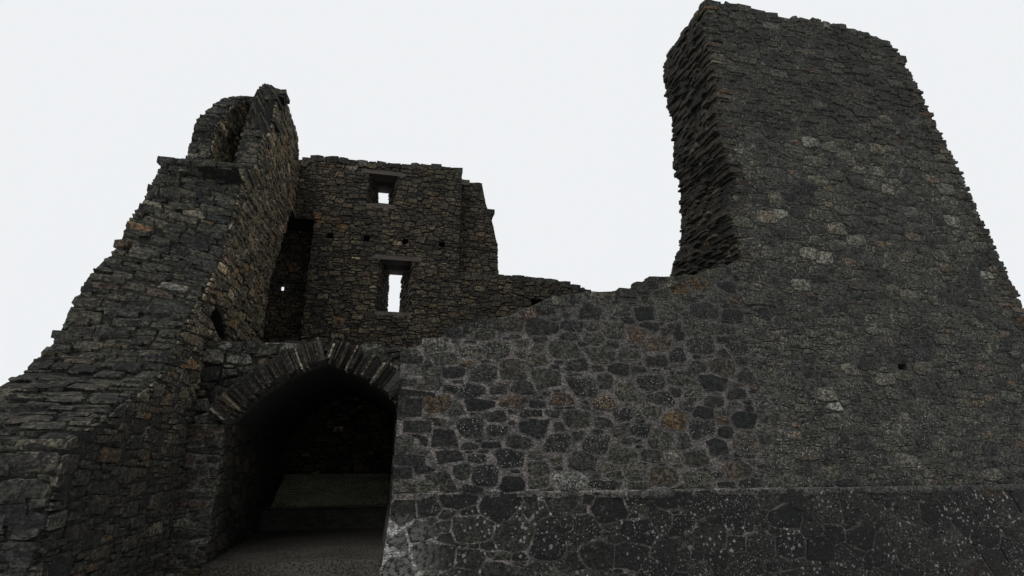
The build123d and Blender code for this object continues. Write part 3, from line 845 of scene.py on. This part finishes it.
def compactness(outline):
    # 1 for a circle, near 0 for a sliver
    around = sum((corner - outline[index - 1]).length for index, corner in enumerate(outline))
    return 4 * math.pi * outlineArea(outline) / around**2


def bucketOf(x, y):
    return math.floor(x / stoneWork["bucket"]), math.floor(y / stoneWork["bucket"])


def nearby(buckets, x, y):
    column, row = bucketOf(x, y)
    return [
        other
        for key in ((column + i, row + j) for i in (-1, 0, 1) for j in (-1, 0, 1))
        for other in buckets.get(key, ())
    ]


def scatter(plane, name, style, buckets):
    # stones of all sizes, the largest first, none too near another
    left, right, bottom, top = plane.bounds[name]
    laid = []
    away = plane.normal.y > 0.5 or plane.normal.x < -0.5 or pieceOf[name] == "eastStones"
    for share, scale, stretch in style["sizes"]:
        if away and scale > 2:
            continue
        radius = style["course"] * scale / 2 * (stoneWork["coarser"] if away else 1)
        tries = int(stoneLimits["tries"] * share * (right - left) * (top - bottom) / (radius**2 * stretch))
        for _ in range(tries):
            x, y = dice.uniform(left, right), dice.uniform(bottom, top)
            crowded = any(
                ((other["x"] - x) * 2 / (stretch + other["stretch"])) ** 2 + (other["y"] - y) ** 2
                < (stoneLimits["closest"] * (radius + other["radius"])) ** 2
                for other in nearby(buckets, x, y)
            )
            if crowded:
                continue
            seed = Vector((x, y))
            plane.depth = None
            if not plane.shows(seed) or not plane.carries(name, seed):
                continue
            stone = {"seed": seed, "x": x, "y": y, "radius": radius, "stretch": stretch, "scale": scale}
            stone["name"] = name
            buckets.setdefault(bucketOf(x, y), []).append(stone)
            laid.append(stone)
    return laid


faceLooks = {  # light and brown, where a face has its own; the light here is painted light and shade
    "leftFoot": (0.8, 0.3),  # the left wall's inner face, low down, kept darker as painted shade
    "leftRise": (2.5, 0.6),  # what is added to that higher up, painted light
    # painted shade on the faces inside the vault
    "vault": (0.6, 0.6),
}


def lookOf(plane, piece, style, height):
    if piece == "leftWallStones" and plane.normal.x > 0.7:
        share = min(max((height - floorLevel - 1.0) / 2.5, 0), 1)
        return [low + rise * share for low, rise in zip(faceLooks["leftFoot"], faceLooks["leftRise"])]
    if piece == "vaultStones" and plane.normal.y > -0.9:
        return faceLooks["vault"]
    return style["light"], style["brown"]


def layFace(plane):
    buckets = {}
    laid = []
    for name in sorted(plane.bounds):
        if name in styleOf:
            laid += scatter(plane, name, styleFor(plane, name), buckets)
    for stone in laid:
        seed, piece = stone["seed"], pieceOf[stone["name"]]
        style = styleFor(plane, stone["name"])
        others = [other for other in nearby(buckets, stone["x"], stone["y"]) if other is not stone]
        others.sort(key=lambda other: (other["seed"] - seed).length - other["radius"])
        outline = stoneCell(stone, others[:stoneLimits["neighbours"]], style)
        outline = tidied(clearOfHole(outline, seed, plane, beamHole), 0.012)
        if not outline:
            continue
        plane.aim(seed)
        outline = tidied(fitted(plane, seed, worn(outline, seed, style)), 0.008)
        if not outline or outlineArea(outline) < stoneLimits["area"]:
            continue
        if compactness(outline) < stoneLimits["sliver"]:
            continue
        backs = [plane.spot(corner) - plane.normal * stoneWork["sunk"] for corner in outline]
        longest = max((backs[index - 1] - back).length for index, back in enumerate(backs))
        if longest > 2.4 * stone["radius"] * stone["stretch"] + 0.1:
            continue
        light, brown = lookOf(plane, piece, style, backs[0].z)
        stones[piece].append({
            "outline": backs,
            "rise": plane.normal * (stoneWork["sunk"] + dice.uniform(*style["proud"])),
            "rim": style["rim"],
            "dome": style["dome"],
            "tone": toneOf(style, stone["scale"]),
            "smooth": style["rounded"],
            "lime": style["lime"],
            "light": light * dice.uniform(0.85, 1.15),
            "brown": brown,
        })


def layBlock(piece, low, high, tone, ragged=0.012, rim=0.006, light=1.0, brown=0.0, lime=(0.35, 0.2, 0.15)):
    # a flat-bedded stone between two corners, none of its sides quite true
    plan = [(low.x, low.y), (high.x, low.y), (high.x, high.y), (low.x, high.y)]
    middle = dice.uniform(0.3, 0.7)
    plan.insert(1, (low.x + (high.x - low.x) * middle, low.y - dice.uniform(0, ragged)))
    plan.append((low.x - dice.uniform(0, ragged), low.y + (high.y - low.y) * middle))
    lean = Vector((dice.uniform(-0.05, 0.05), dice.uniform(-0.05, 0.05)))
    outline = []
    turn = dice.uniform(-ragged, ragged) * 5
    centre = (low + high) / 2
    for x, y in plan:
        x, y = x - (y - centre.y) * turn, y + (x - centre.x) * turn
        corner = Vector((x + dice.uniform(-ragged, ragged), y + dice.uniform(-ragged, ragged), low.z))
        corner.z += lean.dot(Vector((x - low.x, y - low.y)))
        outline.append(corner)
    stones[piece].append({
        "outline": outline,
        "rise": Vector((0, 0, high.z - low.z)),
        "rim": rim,
        "dome": 0.003,
        "tone": tone,
        "smooth": False,
        "lime": lime,
        "light": light * dice.uniform(0.8, 1.2),
        "brown": brown,
    })


def runs(ends, length, spread, rest):
    # places and lengths of stones laid end to end: one that would leave less than rest takes that too
    place, end = ends
    while place < end - 0.05:
        broad = min(length * dice.uniform(*spread), end - place)
        if end - place - broad < rest:
            broad = end - place
        yield place, broad
        place += broad


def layStack(piece, names, start, way, sideRange, heightRange, style):
    # courses of thin stones on a broken end: each is felt for from start, along way
    side = Vector((0, 1, 0)) if abs(way.x) > 0.5 else Vector((1, 0, 0))
    farOff = 40  # well outside the keep, where the ray that feels for the wall's near side starts
    height = heightRange[0]
    while height < heightRange[1]:
        thick = style["course"] * dice.uniform(0.55, 1.4)
        for place, broad in runs(sideRange, style["length"], (0.5, 1.4), 0.12):
            origin = Vector((start[0], start[1], height + thick / 2)) + side * (place + broad / 2)
            spot, name, _ = firstHit(origin, way)
            if spot is None or name not in names:
                continue
            out = spot - way * dice.uniform(*style["out"])
            back = spot + way * dice.uniform(0.22, 0.4)
            met = firstHit(spot + way * 0.12 - side * (spot.dot(side) + farOff), side)[0]
            face = met.dot(side) if met else place
            nearSide = max(place, face)
            if nearSide < face + 0.1:
                nearSide = face - dice.uniform(*style["over"])
            farSide = place + broad
            farSide += dice.uniform(*style["over"]) if farSide >= sideRange[1] - 1e-6 else -0.012
            ends = [out + side * (nearSide - out.dot(side)), back + side * (farSide - back.dot(side))]
            low = Vector((min(p.x for p in ends), min(p.y for p in ends), height))
            high = Vector((max(p.x for p in ends), max(p.y for p in ends), height + thick - style["joint"]))
            if farSide - nearSide > 0.06 and dice.random() > style["missing"]:
                tone = toneOf(style)
                layBlock(piece, low, high, tone, style["ragged"], light=style["light"], brown=style["brown"])
        height += thick


def layCaps(piece, names, xRange, yRange, style):
    # loose flat stones on a broken wall-head, felt for from above
    spread = (0.6, 1.3)
    for x, wide in runs(xRange, style["length"], spread, 0):
        for y, deep in runs(yRange, style["length"], spread, 0.12):
            above = Vector((x + wide / 2, y + deep / 2, tallTop + 1))
            spot, name, normal = firstHit(above, Vector((0, 0, -1)))
            if spot is None or name not in names or normal.z <= style["level"]:
                continue
            top = spot.z + dice.uniform(*style["out"])
            thick = style["course"] * dice.uniform(0.8, 1.3) + 0.06
            low = Vector((x, y, top - thick))
            high = Vector((x + wide - style["joint"], y + deep - style["joint"], top))
            if y == yRange[0]:
                low.y -= dice.uniform(*style["over"])
            if y + deep >= yRange[1] - 1e-6:
                high.y += dice.uniform(*style["over"])
            layBlock(piece, low, high, toneOf(style), style["ragged"], light=style["light"])


# Large flat quoins up the cut jamb of the front wall

quoinStack = {
    "heights": (0.18, 0.19, 0.18, 0.24, 0.21, 0.31, 0.13, 0.16, 0.17, 0.17),
    "long": (0.45, 0.78),
    "short": (0.24, 0.40),
    "proud": 0.006,
    "joint": 0.05,
    "tones": (0.04, 0.12, 0.2, 0.5),
    "light": 0.9,
    "lime": (-0.2, -0.3, -0.3),
    "room": (0.02, 0.02, 0.012),  # kept free of other stones round each
}


def layQuoins(values):
    bottom = footingTop + 0.01
    room = Vector(values["room"])
    for index, height in enumerate(values["heights"]):
        along, deep = values["long"], values["short"]
        if index % 2:
            along, deep = deep, along
        top = bottom + height - values["joint"]
        low = Vector((jamb - values["proud"] * 0.4, frontFace - values["proud"], bottom))
        high = Vector((jamb + dice.uniform(*along), frontFace + dice.uniform(*deep), top))
        tone = dice.choice(values["tones"])
        layBlock("frontWallStones", low, high, tone, 0.01, 0.012, values["light"], lime=values["lime"])
        kept.append((low - room, high + room))
        bottom += height


layQuoins(quoinStack)
haunchFront = nodeBox["vault_west_haunch"][0].y
planes = flatFaces(rubbleNodes)
print(len(planes), "flat faces to lay")
for plane in planes:
    layFace(plane)
print("faces laid:", {piece: len(made) for piece, made in stones.items()})

# Broken ends and wall-heads. Out: how far a stone stands over the broken face or head. Over: how far
# it stands over the wall's sides. Level: how level a head has to be to carry loose stones.

brokenSlabs = {
    **usualStones, "course": 0.078, "length": 0.30, "out": (-0.01, 0.085), "over": (0.0, 0.03),
    "ragged": 0.02, "pale": 0.02, "warm": 0.05, "light": 0.7, "brown": 0.4,
}
rakedSlabs = {
    **usualStones, "course": 0.085, "length": 0.24, "joint": 0.010, "out": (-0.04, 0.07),
    "over": (-0.01, 0.025), "ragged": 0.026, "pale": 0.02, "warm": 0.04, "light": 0.8, "missing": 0.45,
}
capStones = {
    **usualStones, "course": 0.09, "length": 0.30, "joint": 0.014, "out": (0.0, 0.055),
    "over": (0.0, 0.03), "ragged": 0.022, "pale": 0.03, "warm": 0.05, "light": 0.85, "level": 0.3,
}
lowCaps = {**capStones, "out": (-0.05, 0.03), "length": 0.26}
ledgeCaps = {
    **capStones, "course": 0.05, "length": 0.22, "joint": 0.012, "out": (-0.01, 0.03),
    "over": (-0.03, 0.01), "ragged": 0.02, "pale": 0.01, "warm": 0.02, "level": 0.8,
}
edgeStones = {
    **capStones, "course": 0.10, "length": 0.24, "joint": 0.012, "out": (-0.03, 0.06),
    "over": (-0.04, 0.05), "ragged": 0.034, "pale": 0.12,
}
brokenPlaces = {
    "rakeFoot": 1.0,  # foot of the left wall's raked end, over the chamber's floor
    "rakeTop": 8.75,  # its top, over the same
    "rakeLength": 10.5,  # along its slope
    "tallRake": 1.9,  # width of the tall wall's east end, which rakes down
    "haunch": 0.7,  # how far back the haunches carry loose stones
}
tallNodes = {"tall_wall_lower", "tall_wall_upper", "front_wall_east"}
leftNodes = set(pieceNodes["leftWallStones"])
backNodes = set(pieceNodes["backWallStones"])
eastNodes = set(pieceNodes["eastStones"])
leftRange = (lowCorner.x + 0.01, leftInner)
frontRange = (frontFace, frontBack)
backRange = (backInner, highCorner.y)
haunchRange = (haunchFront, haunchFront + brokenPlaces["haunch"])
tallRange = (lowWallEnd, highCorner.x - brokenPlaces["tallRake"])
rightRange = (nodeBox["right_wall"][0].x, highCorner.x)

for start, way, levels in (
    (lowWallEnd - 2.5, 1, (tallFoot, tallTop - 0.1)),
    (highCorner.x + 1, -1, (footingTop + 0.04, tallTop - 0.5)),
):
    layStack("tallWallStones", tallNodes, (start, 0), Vector((way, 0, 0)), frontRange, levels, brokenSlabs)
rakeFoot = Vector((leftRange[0], lowCorner.y, floorLevel + brokenPlaces["rakeFoot"]))
rakeSize = (leftInner - lowCorner.x - 0.02, brokenPlaces["rakeLength"])
layFace(Drape(sorted(leftNodes), rakeFoot, Vector((0, 0.6, 0.8)), rakeSize, rakedRubble))
rakeLevels = (0.03, floorLevel + brokenPlaces["rakeTop"])
layStack(
    "leftWallStones", leftNodes, (0, lowCorner.y - 1), Vector((0, 1, 0)), leftRange, rakeLevels, rakedSlabs,
)
for piece, names, xRange, yRange, style in (
    ("vaultStones", vaultTops, (leftInner, jamb), haunchRange, edgeStones),
    ("frontWallStones", {"front_wall_low"}, (jamb, lowWallEnd), frontRange, lowCaps),
    ("tallWallStones", tallNodes, tallRange, frontRange, capStones),
    ("backWallStones", backNodes, (leftInner, nodeBox["back_wall_low"][1].x), backRange, capStones),
    ("eastStones", eastNodes, (nodeBox["back_wall_east"][0].x, highCorner.x), backRange, capStones),
    ("eastStones", {"right_wall"}, rightRange, (frontBack, backInner), capStones),
    ("leftWallStones", leftNodes, leftRange, (frontFace, backInner), ledgeCaps),
):
    layCaps(piece, names, xRange, yRange, style)
print("broken ends laid:", {piece: len(made) for piece, made in stones.items()})


# Uneven stones along the ledge of the footing

ledgeStones = {
    "length": (0.14, 0.5),
    "thick": (0.05, 0.11),
    "drop": (0.0, 0.022),  # how far their tops stay under the ledge
    "out": (0.004, 0.026),
    "joint": 0.012,
    "light": 0.8,
    "lime": (0.9, 0.4, 0.2),
}


def layLedge(values):
    x = jamb + 0.02
    end = nodeBox["front_wall_east"][1].x - 0.05
    front = nodeBox["front_footing"][0].y
    while x < end:
        long = min(dice.uniform(*values["length"]), end - x)
        top = footingTop - dice.uniform(*values["drop"])
        low = Vector((x, front - dice.uniform(*values["out"]), top - dice.uniform(*values["thick"])))
        high = Vector((x + long - values["joint"], frontFace + 0.03, top))
        tone = toneOf(footingRubble)
        layBlock("frontWallStones", low, high, tone, 0.008, 0.012, values["light"], lime=values["lime"])
        x += long


# Thin slabs set on edge round the mouth of the vault, several over each slab of the solid ring

archRing = {
    "nodes": ("arch_slabs_west", "arch_slabs_east"),
    "each": 3,  # thin slabs over each slab of the solid ring
    "gap": 0.005,
    "outer": (-0.06, 0.05),  # how far the outer ends fall short or stand over
    "inner": (-0.035, 0.055),  # how far the inner ends hang into the mouth
    "deep": 0.3,  # how far back they go from the front wall's face
    "proud": (0.0, 0.09),
    "slew": 0.016,
    "usual": {"tone": (0.1, 0.8), "light": (0.2, 0.75)},
    "bright": {"tone": (0.93, 1.0), "light": (0.9, 1.7)},
    "brightShare": 0.2,
    "lime": (0.5, 0.3, 0.2),
    "brown": 0.3,
}


def slabCorners(mesh):
    # the corners of each slab of the ring in the plane of its face, with its front
    bm = bmesh.new()
    bm.from_mesh(mesh)
    bmesh.ops.remove_doubles(bm, verts=bm.verts[:], dist=1e-4)
    left = set(bm.verts)
    for first in bm.verts:  # in the mesh's own order, so that each run gives the same ring
        if first not in left:
            continue
        left.remove(first)
        island, found = [first], []
        while island:
            vertex = island.pop()
            found.append(vertex.co.copy())
            for edge in vertex.link_edges:
                other = edge.other_vert(vertex)
                if other in left:
                    left.remove(other)
                    island.append(other)
        front = min(point.y for point in found)
        yield front, [point for point in found if point.y < front + 1e-3]
    bm.free()


def layRing(values):
    middle = Vector(((nodeBox["arch_slabs_west"][0].x + jamb) / 2, 0, floorLevel + 1.2))
    for name in values["nodes"]:
        for front, corners in slabCorners(nodes[name].data):
            if len(corners) != 4:
                continue
            corners.sort(key=lambda point: ((point - middle) * Vector((1, 0, 1))).length)
            inner, outer = corners[:2], corners[2:]
            inner.sort(key=lambda point: point.x)
            outer.sort(key=lambda point: point.x)
            for number in range(values["each"]):
                ends = []
                out = ((outer[0] + outer[1]) - (inner[0] + inner[1])).normalized()
                hang, stand = dice.uniform(*values["inner"]), dice.uniform(*values["outer"])
                nudge = values["gap"] / 2 / max((outer[1] - outer[0]).length, 0.02)
                for share in (number / values["each"] + nudge, (number + 1) / values["each"] - nudge):
                    skew = dice.uniform(-values["slew"], values["slew"])
                    start = inner[0].lerp(inner[1], share) - out * hang
                    end = outer[0].lerp(outer[1], share) + out * stand + Vector((skew, 0, 0))
                    ends.append((start, end))
                outline = [ends[0][0], ends[0][1], ends[1][1], ends[1][0]]
                back = Vector((0, frontFace + values["deep"] - front, 0))
                look = values["bright"] if dice.random() < values["brightShare"] else values["usual"]
                proud = dice.uniform(*values["proud"])
                stones["vaultStones"].append({
                    "outline": [point + back for point in outline],
                    "rise": Vector((0, front - proud - frontFace - values["deep"], 0)),
                    "rim": 0.006,
                    "dome": 0.004,
                    "tone": dice.uniform(*look["tone"]),
                    "smooth": False,
                    "lime": values["lime"],
                    "light": dice.uniform(*look["light"]),
                    "brown": values["brown"],
                })


layLedge(ledgeStones)
layRing(archRing)


def placed(name, data):
    made = bpy.data.objects.new(name, data)
    bpy.context.scene.collection.objects.link(made)
    return made


def clampInto(vertices, low, high, axes):
    for vertex in vertices:
        for axis in axes:
            vertex.co[axis] = min(max(vertex.co[axis], low[axis]), high[axis])


def drawCore(name):
    # a wall that reaches the side of the CAD box is drawn in there, so that its stones stand proud of it
    node = nodes[name]
    flush = Vector([stoneWork["flush"]] * 3)
    bm = bmesh.new()
    bm.from_mesh(node.data)
    bmesh.ops.remove_doubles(bm, verts=bm.verts[:], dist=1e-5)
    clampInto(bm.verts, lowCorner + flush, highCorner - flush, (0, 1))
    mesh = bpy.data.meshes.new(name + "_core")
    bm.to_mesh(mesh)
    bm.free()
    for material in node.data.materials:
        mesh.materials.append(material)
    core = placed(name + "_core", mesh)
    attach(core, "root")
    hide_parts(name)


def reachesSide(name):
    low, high = nodeBox[name]
    rooms = [end for axis in (0, 1) for end in (low[axis] - lowCorner[axis], highCorner[axis] - high[axis])]
    return min(rooms) < stoneWork["touch"]


cores = [name for name in rubbleNodes if reachesSide(name)]
for name in cores:
    drawCore(name)
print("cores drawn in:", cores)


def heldIn(stone):
    # how far a stone has to move to stay inside the CAD box
    points = stone["outline"] + [point + stone["rise"] for point in stone["outline"]]
    move = Vector((0, 0, 0))
    for axis in (0, 1):
        over = max(point[axis] for point in points) + stone["dome"] - highCorner[axis]
        under = lowCorner[axis] + stone["dome"] - min(point[axis] for point in points)
        if over > 0:
            move[axis] = -over - dice.uniform(0, 0.01)
        if under > 0:
            move[axis] = under + dice.uniform(0, 0.01)
    return move


def buildStones(name, made):
    # every outline becomes a closed stone with a rim and a slightly crowned face
    bm = bmesh.new()
    toneLayer, edgeLayer, lightLayer, brownLayer = (bm.verts.layers.float.new(layer) for layer in stoneLayers)
    numberLayer = bm.verts.layers.int.new("number")
    backs = []
    for number, stone in enumerate(made):
        move = heldIn(stone)
        corners = [bm.verts.new(point + move) for point in stone["outline"]]
        for corner in corners:
            corner[toneLayer] = stone["tone"]
            corner[edgeLayer] = stone["lime"][0]
            corner[lightLayer] = stone["light"]
            corner[brownLayer] = stone["brown"]
            corner[numberLayer] = number
        backs.append(bm.faces.new(corners))
    grown = bmesh.ops.extrude_face_region(bm, geom=backs, use_keep_orig=True)["geom"]
    fronts = [item for item in grown if isinstance(item, bmesh.types.BMFace)]
    byRim = {}
    for front in fronts:
        stone = made[front.verts[0][numberLayer]]
        tilt = Vector([dice.uniform(-0.05, 0.05) for _ in range(3)])
        middle = front.calc_center_median()
        for corner in front.verts:
            corner.co += stone["rise"] * (1 + tilt.dot(corner.co - middle) / max(stone["rise"].length, 0.05))
        room = 2 * front.calc_area() / front.calc_perimeter()
        rim = min(stone["rim"], round(room * 0.3, 3))
        byRim.setdefault((max(rim, 0.003), stone["dome"], stone["smooth"]), []).append(front)
    for (rim, dome, smooth), faces in byRim.items():
        bmesh.ops.inset_individual(bm, faces=faces, thickness=rim, depth=dome * 0.6, use_even_offset=True)
        for face in faces:
            stone = made[face.verts[0][numberLayer]]
            out = stone["rise"].normalized()
            for vertex in face.verts:
                vertex[edgeLayer] = stone["lime"][1]
                vertex.co += out * dome * dice.uniform(-0.5, 0.5)
        poked = bmesh.ops.poke(bm, faces=faces, offset=0)
        for vertex in poked["verts"]:
            stone = made[vertex[numberLayer]]
            vertex[edgeLayer] = stone["lime"][2]
            vertex.co += stone["rise"].normalized() * dome * dice.uniform(-0.4, 1.3)
        for item in poked["faces"]:
            item.smooth = smooth
    bmesh.ops.recalc_face_normals(bm, faces=bm.faces[:])
    margin = Vector([stoneWork["margin"]] * 3)
    clampInto(bm.verts, lowCorner + margin, highCorner - margin, range(3))
    mesh = bpy.data.meshes.new(name)
    bm.to_mesh(mesh)
    bm.free()
    mesh.materials.append(fieldStone)
    piece = placed(name, mesh)
    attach(piece, "root")
    mesh.calc_loop_triangles()
    print(name, len(made), "stones,", len(mesh.loop_triangles), "triangles")


for name, made in stones.items():
    buildStones(name, made)

# Studio

studio = {
    "floorSize": 400,
    "floorColour": (0.72, 0.71, 0.69),
    "rough": 0.9,
    "skyLight": 0.62,
    "skyColour": (0.92, 0.965, 0.985),
    "backdrop": (0.86, 0.88, 0.9),
    "lampStrength": 2.1,
    "lampSoftness": 40,  # degrees
    "lampTurn": (38, -22, 0),
}


def layFloor(values):
    bm = bmesh.new()
    bmesh.ops.create_grid(bm, x_segments=1, y_segments=1, size=values["floorSize"] / 2)
    mesh = bpy.data.meshes.new("floor")
    bm.to_mesh(mesh)
    bm.free()
    mesh.materials.append(Paint("paleFloor").finish(values["floorColour"], values))
    floor = placed("floor", mesh)


def setSky(values):
    # light from a soft sky, and a plain backdrop where the camera sees past the keep
    world = bpy.data.worlds.new("softSky")
    bpy.context.scene.world = world
    world.use_nodes = True
    tree = world.node_tree
    tree.nodes.clear()
    path = tree.nodes.new("ShaderNodeLightPath")
    seen = tree.nodes.new("ShaderNodeMath")
    seen.operation = "MAXIMUM"
    for index, ray in enumerate(("Is Camera Ray", "Is Glossy Ray")):
        tree.links.new(path.outputs[ray], seen.inputs[index])
    mixed = tree.nodes.new("ShaderNodeMixShader")
    tree.links.new(seen.outputs[0], mixed.inputs[0])
    lights = ((values["skyColour"], values["skyLight"]), (values["backdrop"], 1.0))
    for index, (colour, strength) in enumerate(lights):
        light = tree.nodes.new("ShaderNodeBackground")
        light.inputs["Color"].default_value = (*colour, 1)
        light.inputs["Strength"].default_value = strength
        tree.links.new(light.outputs[0], mixed.inputs[index + 1])
    output = tree.nodes.new("ShaderNodeOutputWorld")
    tree.links.new(mixed.outputs[0], output.inputs[0])


def hangLamp(values):
    lamp = bpy.data.lights.new("softLamp", "SUN")
    lamp.energy = values["lampStrength"]
    lamp.angle = math.radians(values["lampSoftness"])
    holder = placed("softLamp", lamp)
    holder.rotation_euler = [math.radians(angle) for angle in values["lampTurn"]]


layFloor(studio)
setSky(studio)
hangLamp(studio)

camera = {
    "fromJamb": -0.1,
    "fromFace": -8.0,
    "height": 2.19,
    "up": 16.9,  # degrees
    "right": 12.4,  # degrees
    "lens": 18.984,
}
eye = placed("camera", bpy.data.cameras.new("camera"))
eye.location = (jamb + camera["fromJamb"], frontFace + camera["fromFace"], camera["height"])
eye.rotation_euler = (math.radians(90 + camera["up"]), 0, math.radians(-camera["right"]))
eye.data.lens = camera["lens"]
eye.data.clip_end = 1000
bpy.context.scene.camera = eye
bpy.context.scene.view_settings.view_transform = "Standard"
print("studio set")
